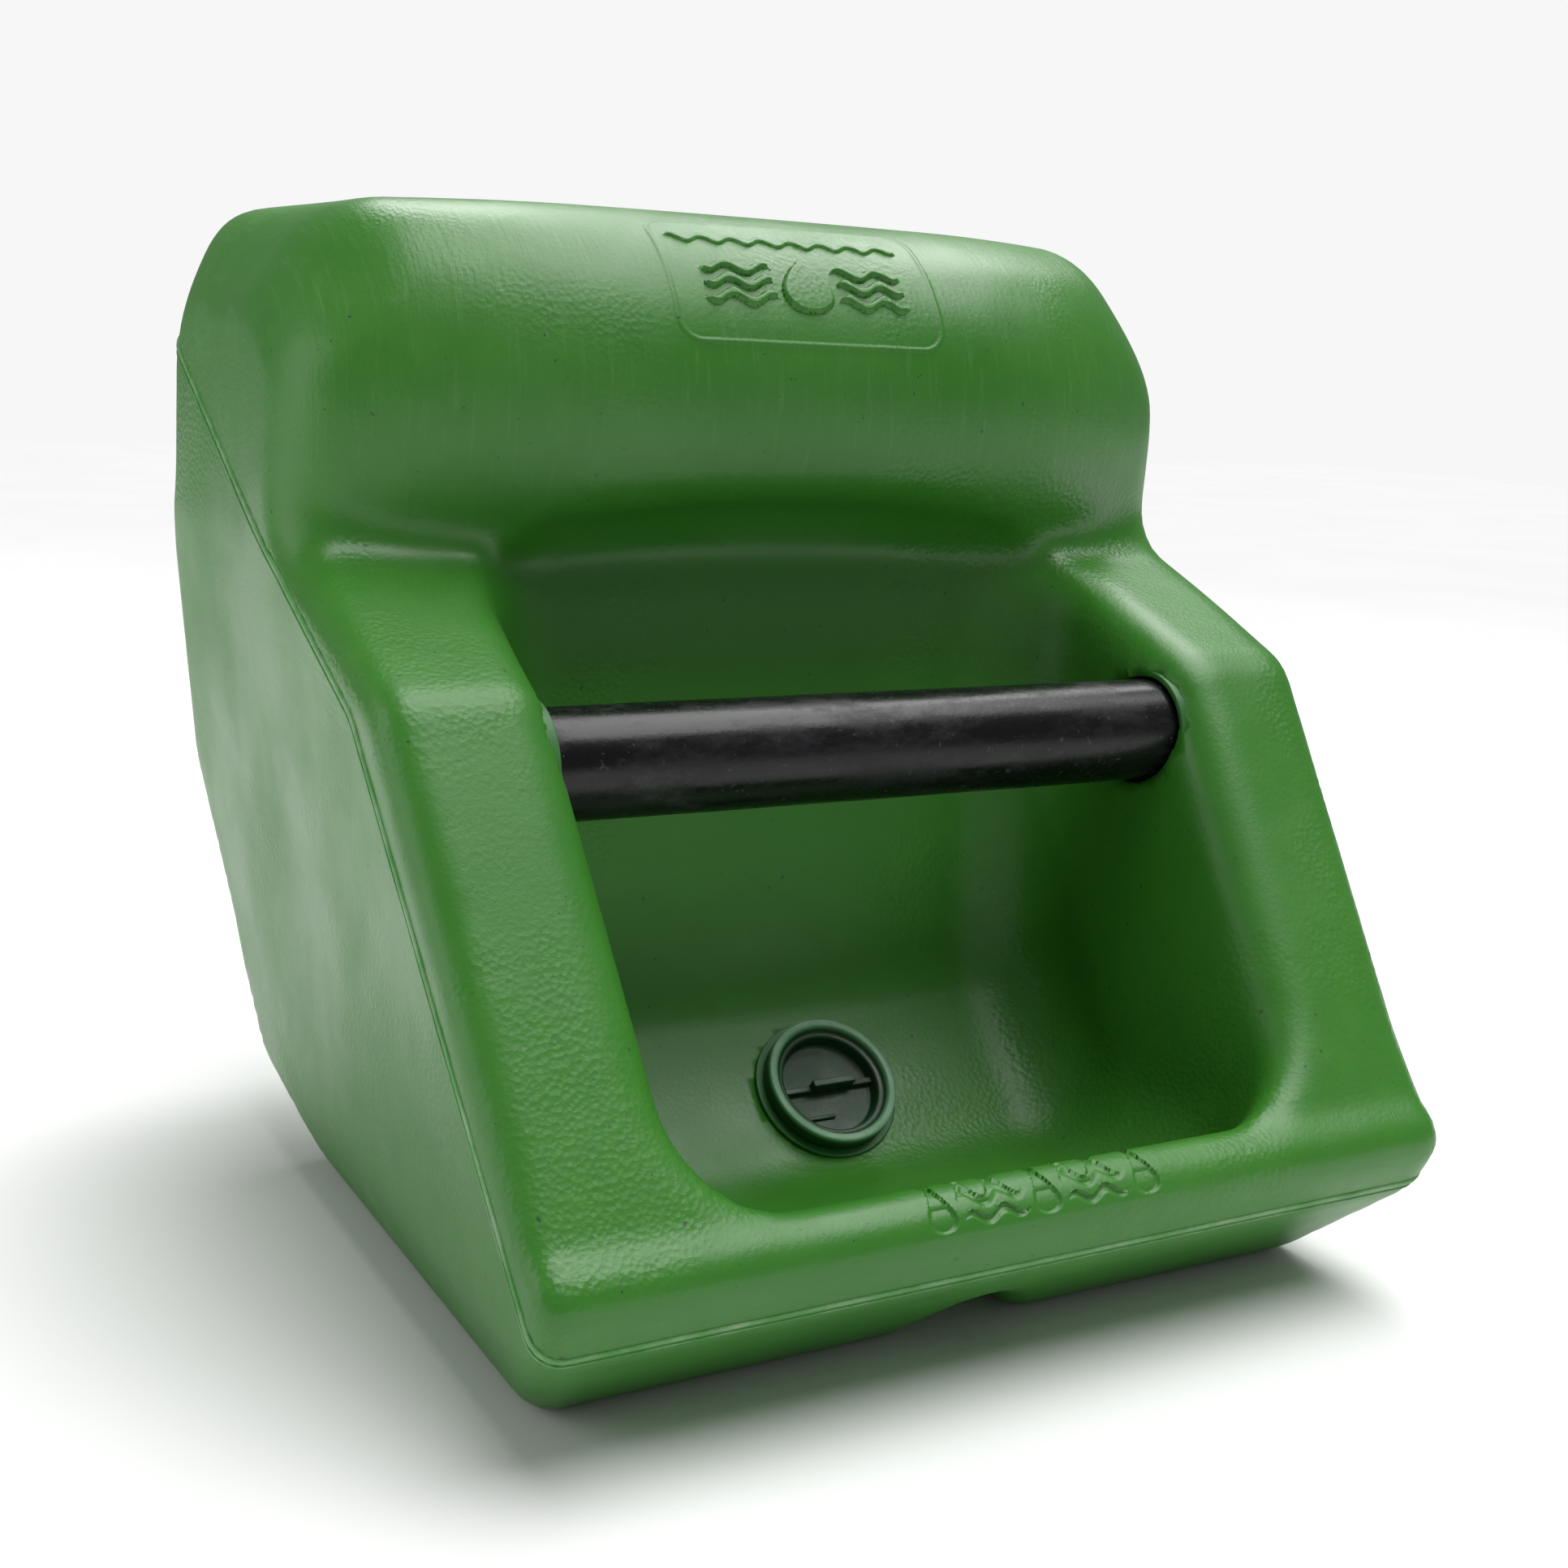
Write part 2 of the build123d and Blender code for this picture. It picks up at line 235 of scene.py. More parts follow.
def stroke(offset, thickness):
    """1 on a line of this thickness, falling softly to 0 at its edges."""
    return share(thickness / 2 - np.abs(offset), -EDGE_SOFTNESS, EDGE_SOFTNESS)


def drop_shape(u, v, width, height):
    """1 inside a water drop that stands point up on v = -height / 2."""
    t = np.clip(v / height + 0.5, 0, 1)
    within = 1.72 * width * np.sqrt(t) * (1 - t) - np.abs(u)
    inside = share(within, -EDGE_SOFTNESS, EDGE_SOFTNESS)
    return inside * (np.abs(v) < height / 2)


def waves(u, v, start, end, lines, pitch, rise, length, thickness):
    """1 on several parallel waves that run from start to end and taper off."""
    taper = np.clip(np.minimum(u - start, end - u) / 6, 0, 1)
    total = np.zeros_like(u)
    for line in range(lines):
        middle = (line - (lines - 1) / 2) * pitch
        wave = v - middle - rise * np.sin(2 * math.pi * (u - start) / length)
        total = np.maximum(total, stroke(wave, thickness * taper) * (taper > 0.02))
    return total


def on_nose(y, z):
    """Distance round the nose from the emblem's middle, upwards."""
    return NOSE_RADIUS * (np.arctan2(z - NOSE[1], NOSE[0] - y) - EMBLEM_ANGLE)


def emblem_height(x, y, z):
    """A plain water drop between waves, under a long ripple, in a faint rounded frame."""
    v = on_nose(y, z)
    shape = drop_shape(x, v, 17, 25)
    for side in (-1, 1):
        shape = np.maximum(shape, waves(side * x, v, 13, 47, 3, 7.2, 1.9, 17, 3.6))
    ripple = waves(x, v - 24, -56, 52, 1, 0, 1.7, 13.5, 3.0)
    half_width, half_height = EMBLEM_HALF
    over = np.maximum(np.abs(x) - half_width + EMBLEM_CORNER, 0)
    above = np.maximum(np.abs(v - EMBLEM_FRAME_V) - half_height + EMBLEM_CORNER, 0)
    border = stroke(np.hypot(over, above) - EMBLEM_CORNER, 1.8)
    height = np.maximum(shape * EMBLEM_RISE, ripple * EMBLEM_RISE * 0.6)
    return np.maximum(height, border * FRAME_RISE) * near_emblem(x, y, z)


def lip_mark_depth(x, y, z):
    """A row of small drops and waves sunk into the band of the lip."""
    v = z - LIP_MARK_Z
    shape = np.zeros_like(x)
    for centre in (-43, 0, 43):
        shape = np.maximum(shape, drop_shape(x - centre, v, 8, 11))
    for start in (-35, 8):
        shape = np.maximum(shape, waves(x, v, start, start + 27, 2, 5, 1.3, 13.5, 2.3))
    return shape * LIP_MARK_DEPTH * near_lip_mark(x, y, z)


def near_emblem(x, y, z):
    """True on the part of the hood that holds the emblem and its frame."""
    half_width, half_height = EMBLEM_HALF
    v = np.abs(on_nose(y, z) - EMBLEM_FRAME_V)
    return (np.abs(x) < half_width + 2) & (v < half_height + 2) & (y < NOSE[0])


def near_lip_mark(x, y, z):
    """True on the part of the lip that holds the row of drops and waves."""
    half_width, half_height = LIP_MARK_HALF
    return (np.abs(x) < half_width) & (np.abs(z - LIP_MARK_Z) < half_height) & (y < LIP_MARK_BACK)


def body_field(x, y, z):
    """The plain body with its small relief."""
    return plain_body(x, y, z) - emblem_height(x, y, z) + lip_mark_depth(x, y, z)


# ---- meshes from fields -------------------------------------------------------------------------
def surface_net(field, low, step):
    """Quads over the zero surface of a sampled field, one vertex in each cell it crosses."""
    cells = tuple(count - 1 for count in field.shape)
    total = np.zeros(cells + (3,))
    hits = np.zeros(cells)
    rings = []
    for axis in range(3):
        ahead = np.moveaxis(field, axis, 0)
        first = np.moveaxis(ahead[:-1], 0, axis)
        second = np.moveaxis(ahead[1:], 0, axis)
        crossed = (first < 0) != (second < 0)
        index = np.argwhere(crossed)
        before = first[crossed]
        point = index.astype(float)
        point[:, axis] += before / (before - second[crossed])
        corners = []
        for du, dv in ((0, 0), (-1, 0), (-1, -1), (0, -1)):
            cell = index.copy()
            cell[:, (axis + 1) % 3] += du
            cell[:, (axis + 2) % 3] += dv
            np.add.at(total, tuple(cell.T), point)
            np.add.at(hits, tuple(cell.T), 1)
            corners.append(np.ravel_multi_index(tuple(cell.T), cells))
        ring = np.stack(corners, axis=1)
        ring[before > 0] = ring[before > 0][:, ::-1]
        rings.append(ring)
    used = np.flatnonzero(hits.ravel() > 0)
    number = np.zeros(hits.size, int)
    number[used] = np.arange(len(used))
    points = total.reshape(-1, 3)[used] / hits.ravel()[used][:, None]
    return np.array(low) + points * step, number[np.concatenate(rings)]


def slope_of(field, points, reach=0.25):
    """The field's gradient at each point."""
    steps = []
    for axis in range(3):
        move = np.zeros(3)
        move[axis] = reach
        steps.append((field(*(points + move).T) - field(*(points - move).T)) / (2 * reach))
    return np.stack(steps, axis=1)


def onto_surface(field, points, rounds=3, limit=3.0):
    """The points moved along the field's gradient to where it is zero."""
    for _ in range(rounds):
        gradient = slope_of(field, points)
        strength = np.maximum((gradient**2).sum(1), 0.05)
        move = field(*points.T) / strength
        points = points - gradient * np.clip(move, -limit, limit)[:, None]
    return points


def relaxed(points, quads):
    """Each point moved half way to the middle of its neighbours."""
    total = np.zeros_like(points)
    count = np.zeros(len(points))
    for side in range(4):
        here = quads[:, side]
        there = quads[:, (side + 1) % 4]
        for a, b in ((here, there), (there, here)):
            np.add.at(total, a, points[b])
            np.add.at(count, a, 1)
    return (points + total / count[:, None]) / 2


def to_row(points):
    """The body's millimetres turned into the row frame's metres."""
    return np.asarray(points, float) * MM + np.array([0, LIP_Y, 0])


def make_object(name, points, faces, smooth=True):
    """A mesh object from points in the row frame's metres."""
    mesh = bpy.data.meshes.new(name)
    mesh.from_pydata([tuple(p) for p in points], [], [tuple(f) for f in faces])
    mesh.polygons.foreach_set("use_smooth", [smooth] * len(mesh.polygons))
    mesh.update()
    piece = bpy.data.objects.new(name, mesh)
    bpy.context.scene.collection.objects.link(piece)
    return piece


def body_skin():
    """The body's whole outer skin, as a bmesh in millimetres."""
    low = np.array([-(math.ceil(HALF_TOP / CELL) + 1.5) * CELL, -1.5 * CELL, -1.5 * CELL])
    size = np.array([-2 * low[0], DEPTH + 3 * CELL, HEIGHT + 3 * CELL])
    counts = np.ceil(size / CELL).astype(int) + 1
    axes = [low[k] + CELL * np.arange(counts[k]) for k in range(3)]
    grid = np.meshgrid(*axes, indexing="ij")
    points, quads = surface_net(plain_body(*grid), low, CELL)
    points = onto_surface(plain_body, points)
    for _ in range(3):
        points = onto_surface(plain_body, relaxed(points, quads), rounds=2)
    skin = bmesh.new()
    corners = [skin.verts.new(p) for p in points]
    for quad in quads:
        skin.faces.new([corners[k] for k in quad])
    bmesh.ops.recalc_face_normals(skin, faces=skin.faces)
    return skin


def seam_side(y, z):
    """Negative in front of and above the seam, positive behind and below it."""
    lower = np.maximum(SEAM_FRONT[1] - z, -left_of(y, z, SEAM_FRONT, SEAM_BEND))
    return np.minimum(lower, -left_of(y, z, SEAM_BEND, SEAM_BACK))


def cut_along_seam(skin):
    """New edges along the seam's three planes."""
    before_front = (SEAM_FRONT[0] - 30, SEAM_FRONT[1])
    spans = (
        (before_front, SEAM_FRONT, -DEPTH, SEAM_FRONT[0] + 0.01),
        (SEAM_FRONT, SEAM_BEND, SEAM_FRONT[0], SEAM_BEND[0]),
        (SEAM_BEND, SEAM_BACK, SEAM_BEND[0], 2 * DEPTH),
    )
    for start, end, low, high in spans:
        along = (end[0] - start[0], end[1] - start[1])
        near = [f for f in skin.faces if low - CELL < f.calc_center_median().y < high + CELL]
        edges = {e for f in near for e in f.edges}
        verts = {v for f in near for v in f.verts}
        bmesh.ops.bisect_plane(
            skin,
            geom=list(verts) + list(edges) + near,
            dist=0.3,
            plane_co=(0, *start),
            plane_no=(0, -along[1], along[0]),
        )


def in_bowl(face):
    """True for the faces of the bowl, which all belong to the front moulding."""
    x, y, z = face.calc_center_median()
    return pocket(abs(x), y, z) < BOWL_REACH and z > BOWL_FOOT_Z


def part_of_skin(skin, front):
    """A copy of the skin with only the front or only the rear moulding."""
    copy = skin.copy()
    drop = []
    for face in copy.faces:
        x, y, z = face.calc_center_median()
        is_front = in_bowl(face) or seam_side(y, z) < 0
        if is_front != front:
            drop.append(face)
    bmesh.ops.delete(copy, geom=drop, context="FACES")
    return copy


def cut_round_hole(skin, centre, axis, radius, low, high):
    """Takes out the faces inside a round hole and pulls its rim to a true circle."""
    centre = np.array(centre)
    axis = np.array(axis)

    def place(vert):
        """A vertex's offset from the axis, and its height along it."""
        offset = np.array(vert.co) - centre
        height = offset @ axis
        return offset - axis * height, height

    inside = []
    for face in skin.faces:
        if not low < place(face.verts[0])[1] < high:
            continue
        reach = sum(np.linalg.norm(place(v)[0]) for v in face.verts) / len(face.verts)
        if reach < radius:
            inside.append(face)
    rim = {v for f in inside for v in f.verts}
    bmesh.ops.delete(skin, geom=inside, context="FACES")
    for vert in rim:
        if vert.is_valid:
            flat, height = place(vert)
            reach = np.linalg.norm(flat)
            vert.co = Vector(centre + axis * height + flat * radius / reach)


def refine(skin, near, levels):
    """Cuts the faces that near() accepts into smaller ones."""
    for _ in range(levels):
        faces = [f for f in skin.faces if near(*f.calc_center_median())]
        edges = {e for f in faces for e in f.edges}
        bmesh.ops.subdivide_edges(skin, edges=list(edges), cuts=1, use_grid_fill=True)


def wall_depth(points, normals):
    """How thick the wall can be at each point without running into the skin behind it."""
    depth = np.full(len(points), 1.0)
    for tried in np.arange(1.5, WALL + 0.1, 0.5):
        inside = plain_body(*(points - normals * tried).T)
        depth = np.where(inside < -0.85 * tried, tried, depth)
    return depth


def shell_object(name, skin, refinements=()):
    """A closed shell: the skin outside, refined where asked, and a second skin inside it."""
    skin.verts.index_update()
    base = np.array([v.co for v in skin.verts])
    base_faces = [[v.index for v in f.verts] for f in skin.faces]
    rim = [tuple(loop_edge(e)) for e in skin.edges if e.is_boundary]
    normals = slope_of(plain_body, base)
    normals /= np.linalg.norm(normals, axis=1)[:, None]
    inner = base - normals * wall_depth(base, normals)[:, None]
    for near, levels in refinements:
        refine(skin, near, levels)
    skin.verts.index_update()
    outer = np.array([v.co for v in skin.verts])
    detailed = np.array([near_emblem(*p) or near_lip_mark(*p) for p in outer])
    if detailed.any():
        outer[detailed] = onto_surface(body_field, outer[detailed], rounds=4, limit=1.0)
    faces = [[v.index for v in f.verts] for f in skin.faces]
    start = len(outer)
    faces += [[start + k for k in reversed(face)] for face in base_faces]
    at_rim = {tuple(v.co): v.index for v in skin.verts if v.is_boundary}
    faces += [
        [at_rim[tuple(base[b])], at_rim[tuple(base[a])], start + a, start + b] for a, b in rim
    ]
    return make_object(name, to_row(np.concatenate([outer, inner])), faces)


def loop_edge(edge):
    """The two vertex numbers of a boundary edge, in the order its face has them."""
    loop = edge.link_loops[0]
    return loop.vert.index, loop.link_loop_next.vert.index


# ---- seam bead ----------------------------------------------------------------------------------
def seam_loop(skin):
    """The seam's line round the body, as evenly spaced points."""
    following = {}
    for edge in skin.edges:
        if edge.is_boundary:
            a, b = loop_edge(edge)
            following[a] = b
    places = {v.index: np.array(v.co) for v in skin.verts}
    best = []
    while following:
        start = next(iter(following))
        chain = [start]
        step = following.pop(start)
        while step in following:
            chain.append(step)
            step = following.pop(step)
        if len(chain) > len(best):
            best = chain
    line = np.array([places[k] for k in best])
    closed = np.vstack([line, line[:1]])
    run = np.concatenate([[0], np.cumsum(np.linalg.norm(np.diff(closed, axis=0), axis=1))])
    count = int(run[-1] / BEAD_STEP)
    wanted = np.linspace(0, run[-1], count, endpoint=False)
    even = np.stack([np.interp(wanted, run, closed[:, k]) for k in range(3)], axis=1)
    for _ in range(4):
        even = (np.roll(even, 1, axis=0) + 2 * even + np.roll(even, -1, axis=0)) / 4
    return onto_surface(plain_body, even)


def swept(line, profile, sideways=0.0):
    """Rings of a closed profile of (across, out) points along a closed line on the skin."""
    along = np.roll(line, -1, axis=0) - np.roll(line, 1, axis=0)
    along /= np.linalg.norm(along, axis=1)[:, None]
    out = slope_of(plain_body, line)
    out /= np.linalg.norm(out, axis=1)[:, None]
    across = np.cross(along, out)
    if sideways:
        line = onto_surface(plain_body, line + across * sideways)
    points = np.concatenate([line + across * u + out * v for u, v in profile])
    count = len(line)
    rings = len(profile)
    faces = []
    for ring in range(rings):
        here = ring * count
        there = (ring + 1) % rings * count
        for k in range(count):
            after = (k + 1) % count
            faces.append([here + k, here + after, there + after, there + k])
    return points, faces


# ---- turned pieces ------------------------------------------------------------------------------
def softened(points, radius, steps=4):
    """A closed outline with each corner turned into a short curve."""
    result = []
    count = len(points)
    for k in range(count):
        corner = np.array(points[k], float)
        bends = []
        for other in (points[k - 1], points[(k + 1) % count]):
            away = np.array(other, float) - corner
            length = np.linalg.norm(away)
            bends.append(corner + away * min(radius, 0.45 * length) / length)
        for step in range(steps + 1):
            t = step / steps
            result.append((1 - t) ** 2 * bends[0] + 2 * t * (1 - t) * corner + t**2 * bends[1])
    return result


def turned(profile, basis, origin, segments=96, wobble=0.0):
    """A closed outline of (radius, height) points, in millimetres, turned about basis[2]."""
    angles = 2 * math.pi * np.arange(segments) / segments
    points = []
    for radius, height in profile:
        for angle in angles:
            waver = 0
            if wobble:
                spot = Vector((math.cos(angle), math.sin(angle), height * 0.02)) * 1.7
                waver = wobble * noise.noise(spot)
            flat = basis[0] * math.cos(angle) + basis[1] * math.sin(angle)
            points.append(origin + (flat * (radius + waver) + basis[2] * height) * MM)
    faces = []
    count = len(profile)
    for ring in range(count):
        here = ring * segments
        there = (ring + 1) % count * segments
        for k in range(segments):
            after = (k + 1) % segments
            faces.append([here + k, here + after, there + after, there + k])
    return points, faces


def joined(parts):
    """Several (points, faces) pairs made into one."""
    points, faces = [], []
    for more_points, more_faces in parts:
        start = len(points)
        points += [tuple(p) for p in more_points]
        faces += [[start + k for k in face] for face in more_faces]
    return points, faces


def tidy_mesh(piece, merge=1e-6):
    """Merges doubled points and faces the surface outwards."""
    mesh = bmesh.new()
    mesh.from_mesh(piece.data)
    bmesh.ops.remove_doubles(mesh, verts=mesh.verts, dist=merge)
    bmesh.ops.dissolve_degenerate(mesh, edges=mesh.edges, dist=merge)
    bmesh.ops.recalc_face_normals(mesh, faces=mesh.faces)
    mesh.to_mesh(piece.data)
    mesh.free()
    piece.data.update()
    return piece


def soft_block(size, centre, basis, origin, bevel):
    """A block with rounded edges, in the millimetres of a turned piece's basis."""
    block = bmesh.new()
    bmesh.ops.create_cube(block, size=1)
    for vert in block.verts:
        vert.co = Vector(c * s for c, s in zip(vert.co, size))
    bmesh.ops.bevel(block, geom=block.edges[:], offset=bevel, segments=3, profile=0.6, affect="EDGES")
    block.verts.index_update()
    points = []
    for vert in block.verts:
        local = vert.co + Vector(centre)
        points.append(origin + (basis[0] * local.x + basis[1] * local.y + basis[2] * local.z) * MM)
    faces = [[v.index for v in f.verts] for f in block.faces]
    block.free()
    return points, faces


PORT_BASIS = (Vector((1, 0, 0)), PORT_AXIS.cross(Vector((1, 0, 0))), PORT_AXIS)
BAR_BASIS = (Vector((0, 1, 0)), Vector((0, 0, 1)), Vector((1, 0, 0)))


# ---- materials ----------------------------------------------------------------------------------
def add(tree, kind, inputs=None, **settings):
    """A new shader node with its inputs linked or set."""
    node = tree.nodes.new(kind)
    for key, value in settings.items():
        setattr(node, key, value)
    for key, value in (inputs or {}).items():
        if isinstance(value, bpy.types.NodeSocket):
            tree.links.new(value, node.inputs[key])
        else:
            node.inputs[key].default_value = value
    return node


def new_material(name, roughness, specular=0.5):
    """A material, its node tree and shader, and the object's own coordinates."""
    material = bpy.data.materials.new(name)
    material.use_nodes = True
    tree = material.node_tree
    shader = tree.nodes["Principled BSDF"]
    shader.inputs["Roughness"].default_value = roughness
    shader.inputs["Specular IOR Level"].default_value = specular
    place = add(tree, "ShaderNodeTexCoord").outputs["Object"]
    return material, tree, shader, place


def speckle(tree, place, scale, detail=3.0, stretch=(1, 1, 1), roughness=0.55, turn=(0, 0, 0)):
    """Noise of so many lumps a metre, drawn out along an axis where stretch is small."""
    if stretch != (1, 1, 1) or turn != (0, 0, 0):
        mapping = add(tree, "ShaderNodeMapping", {"Vector": place, "Scale": stretch, "Rotation": turn})
        place = mapping.outputs["Vector"]
    settings = {"Vector": place, "Scale": scale, "Detail": detail, "Roughness": roughness}
    return add(tree, "ShaderNodeTexNoise", settings).outputs["Fac"]


def span(tree, value, low, high, start=0.0, end=1.0):
    """A value spread smoothly from start to end as it goes from low to high."""
    settings = {"Value": value, "From Min": low, "From Max": high, "To Min": start, "To Max": end}
    node = add(tree, "ShaderNodeMapRange", settings, interpolation_type="SMOOTHSTEP")
    return node.outputs["Result"]


def times(tree, a, b):
    return add(tree, "ShaderNodeMath", {0: a, 1: b}, operation="MULTIPLY").outputs[0]


def plus(tree, a, b):
    return add(tree, "ShaderNodeMath", {0: a, 1: b}, operation="ADD").outputs[0]


def blended(tree, amount, a, b):
    """One colour turning into another."""
    node = add(tree, "ShaderNodeMix", data_type="RGBA")
    for index, value in ((0, amount), (6, a), (7, b)):
        if isinstance(value, bpy.types.NodeSocket):
            tree.links.new(value, node.inputs[index])
        else:
            node.inputs[index].default_value = (*value, 1) if index else value
    return node.outputs[2]


def bumps(tree, shader, layers):
    """Bump nodes in a chain, each (height, strength, depth in metres)."""
    normal = None
    for height, strength, depth in layers:
        settings = {"Height": height, "Strength": strength, "Distance": depth}
        if normal is not None:
            settings["Normal"] = normal
        normal = add(tree, "ShaderNodeBump", settings).outputs["Normal"]
    tree.links.new(normal, shader.inputs["Normal"])


def body_plastic(name):
    """Rotationally moulded green polyethylene: fine orange peel, tooling streaks and light wear."""
    material, tree, shader, place = new_material(name, 0.36, 0.5)
    parts = add(tree, "ShaderNodeSeparateXYZ", {"Vector": place})
    height = parts.outputs["Z"]
    broad = span(tree, speckle(tree, place, 5, 2), 0.3, 0.7)
    fine = span(tree, speckle(tree, place, 70, 4), 0.25, 0.75)
    colour = blended(tree, broad, (0.028, 0.168, 0.012), (0.040, 0.196, 0.016))
    colour = blended(tree, times(tree, fine, 0.35), colour, (0.024, 0.150, 0.012))
    hood_area = span(tree, height, 0.27, 0.33)
    streak = speckle(tree, place, 34, 5, (14, 1.1, 1.1), 0.7, (0, 0, 0.12))
    streak_mask = times(tree, span(tree, streak, 0.52, 0.74), hood_area)
    colour = blended(tree, times(tree, streak_mask, 0.3), colour, (0.11, 0.27, 0.08))
    chalk = times(tree, span(tree, speckle(tree, place, 23, 6, (1, 1, 1), 0.75), 0.60, 0.78), 0.4)
    colour = blended(tree, chalk, colour, (0.12, 0.25, 0.09))
    speck = span(tree, speckle(tree, place, 330, 1), 0.765, 0.79)
    colour = blended(tree, times(tree, speck, 0.8), colour, (0.018, 0.05, 0.015))
    tree.links.new(colour, shader.inputs["Base Color"])
    rough = span(tree, speckle(tree, place, 12, 4), 0.3, 0.7, 0.32, 0.46)
    rough = plus(tree, rough, times(tree, chalk, 0.3))
    tree.links.new(rough, shader.inputs["Roughness"])
    peel = speckle(tree, place, 520, 2)
    pebble = add(tree, "ShaderNodeTexVoronoi", {"Vector": place, "Scale": 430}).outputs["Distance"]
    patch = span(tree, speckle(tree, place, 9, 3), 0.50, 0.62)
    dents = speckle(tree, place, 16, 2)
    bumps(
        tree,
        shader,
        (
            (dents, 0.35, 0.0025),
            (times(tree, streak, hood_area), 0.35, 0.0005),
            (times(tree, pebble, patch), 0.35, 0.0006),
            (peel, 0.3, 0.0004),
        ),
    )
    return material


def plain_plastic(name, light, dark, roughness, grain=300.0, dust=None, dust_share=0.3):
    """Moulded plastic or rubber with a little variation, a fine grain and perhaps dust."""
    material, tree, shader, place = new_material(name, roughness)
    colour = blended(tree, span(tree, speckle(tree, place, 45, 4), 0.3, 0.7), dark, light)
    if dust:
        cloud = span(tree, speckle(tree, place, 38, 6, (1, 1, 1), 0.7), 0.42, 0.68)
        colour = blended(tree, times(tree, cloud, dust_share), colour, dust)
    tree.links.new(colour, shader.inputs["Base Color"])
    rough = span(tree, speckle(tree, place, 30, 3), 0.3, 0.7, roughness - 0.06, roughness + 0.1)
    tree.links.new(rough, shader.inputs["Roughness"])
    bumps(tree, shader, ((speckle(tree, place, grain, 3), 0.3, 0.0005),))
    return material


def bar_plastic(name):
    """Black pipe, dusty and rubbed along its length, with drawing lines from the extruder."""
    material, tree, shader, place = new_material(name, 0.42, 0.35)
    blotch = span(tree, speckle(tree, place, 55, 7, (0.5, 1, 1), 0.75), 0.42, 0.66)
    colour = blended(tree, blotch, (0.002, 0.002, 0.0025), (0.008, 0.007, 0.009))
    speck = span(tree, speckle(tree, place, 420, 2), 0.66, 0.72)
    smudge = span(tree, speckle(tree, place, 26, 6, (0.6, 1, 1), 0.7), 0.56, 0.72)
    dust = plus(tree, times(tree, speck, 0.5), times(tree, smudge, 0.5))
    colour = blended(tree, dust, colour, (0.07, 0.065, 0.07))
    tree.links.new(colour, shader.inputs["Base Color"])
    rough = plus(tree, times(tree, blotch, 0.24), 0.24)
    tree.links.new(rough, shader.inputs["Roughness"])
    lines = speckle(tree, place, 260, 3, (0.06, 1, 1))
    bumps(tree, shader, ((lines, 0.15, 0.0003), (speckle(tree, place, 600, 3), 0.12, 0.0004)))
    return material


def floor_material():
    """A pale, matt floor with the faintest unevenness."""
    material, tree, shader, place = new_material("studio_floor", 0.75, 0.2)
    soft = span(tree, speckle(tree, place, 3, 2), 0.3, 0.7)
    colour = blended(tree, soft, (0.88, 0.88, 0.88), (0.90, 0.90, 0.90))
    tree.links.new(colour, shader.inputs["Base Color"])
    return material


def wear(piece, material):
    """Gives a piece this one material."""
    piece.data.materials.clear()
    piece.data.materials.append(material)
    return piece


def dress_node(name, material):
    """Gives a CAD node that stays visible its material."""
    node = frame["nodes"][name]
    if not node.material_slots:
        node.data.materials.append(material)
    for material_slot in node.material_slots:
        material_slot.material = material


# ---- pieces -------------------------------------------------------------------------------------
def finished(piece, body, slot, material, *nodes):
    """Puts a piece on its body, with its material, in place of its CAD nodes."""
    wear(piece, material)
    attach(piece, body)
    if nodes:
        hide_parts(*nodes)
    return piece


def make_shells():
    """The front and rear mouldings. Returns the seam's line."""
    skin = body_skin()
    cut_along_seam(skin)
    front = part_of_skin(skin, True)
    rear = part_of_skin(skin, False)
    skin.free()
    front.verts.index_update()
    line = seam_loop(front)
    bar_centre = (0, (BAR_AXIS.y - LIP_Y) / MM, BAR_AXIS.z / MM)
    port_centre = (0, (PORT_AT.y - LIP_Y) / MM, PORT_AT.z / MM)
    low, high = BOWL_SIDE
    cut_round_hole(front, bar_centre, (1, 0, 0), BAR_HOLE, -high, -low)
    cut_round_hole(front, bar_centre, (1, 0, 0), BAR_HOLE, low, high)
    cut_round_hole(front, port_centre, tuple(PORT_AXIS), PORT_HOLE, -8, 8)
    green = body_plastic("body_polyethylene")
    refinements = ((near_emblem, 3), (near_lip_mark, 3))
    front_piece = shell_object("front_moulding", front, refinements)
    rear_piece = shell_object("rear_moulding", rear)
    finished(front_piece, "root", "body_green", green, "front_shell")
    finished(rear_piece, "root", "body_green", green, "rear_shell")
    return line


def make_seam_bead(line):
    """The raised weld round the body, with a finer tooling line beside it."""
    bead = [(-1.5, -0.5), (-1.2, 0.25), (-0.5, 0.7), (0.5, 0.7), (1.2, 0.25), (1.5, -0.5)]
    fine = [(-0.5, -0.5), (-0.35, 0.2), (0, 0.4), (0.35, 0.2), (0.5, -0.5)]
    points, faces = joined([swept(line, bead), swept(line, fine, sideways=3.4)])
    piece = make_object("seam_bead", to_row(points), faces)
    tidy_mesh(piece)
    green = plain_plastic(
        "weld_plastic", (0.075, 0.29, 0.06), (0.05, 0.23, 0.04), 0.5, 700, (0.33, 0.46, 0.30), 0.55
    )
    finished(piece, "root", "seam_green", green, "seam_weld")


AXIS_GAP = 0.01                     # keeps a turned section just clear of its axis
CUP_INNER = 21.9
CUP_OUTER = 24.4
CUP_FLOOR = 2.4
CUP_END_GAP = 0.4
CUP_SET_BACK = 4.5                  # from the bowl's wall to the cup's mouth


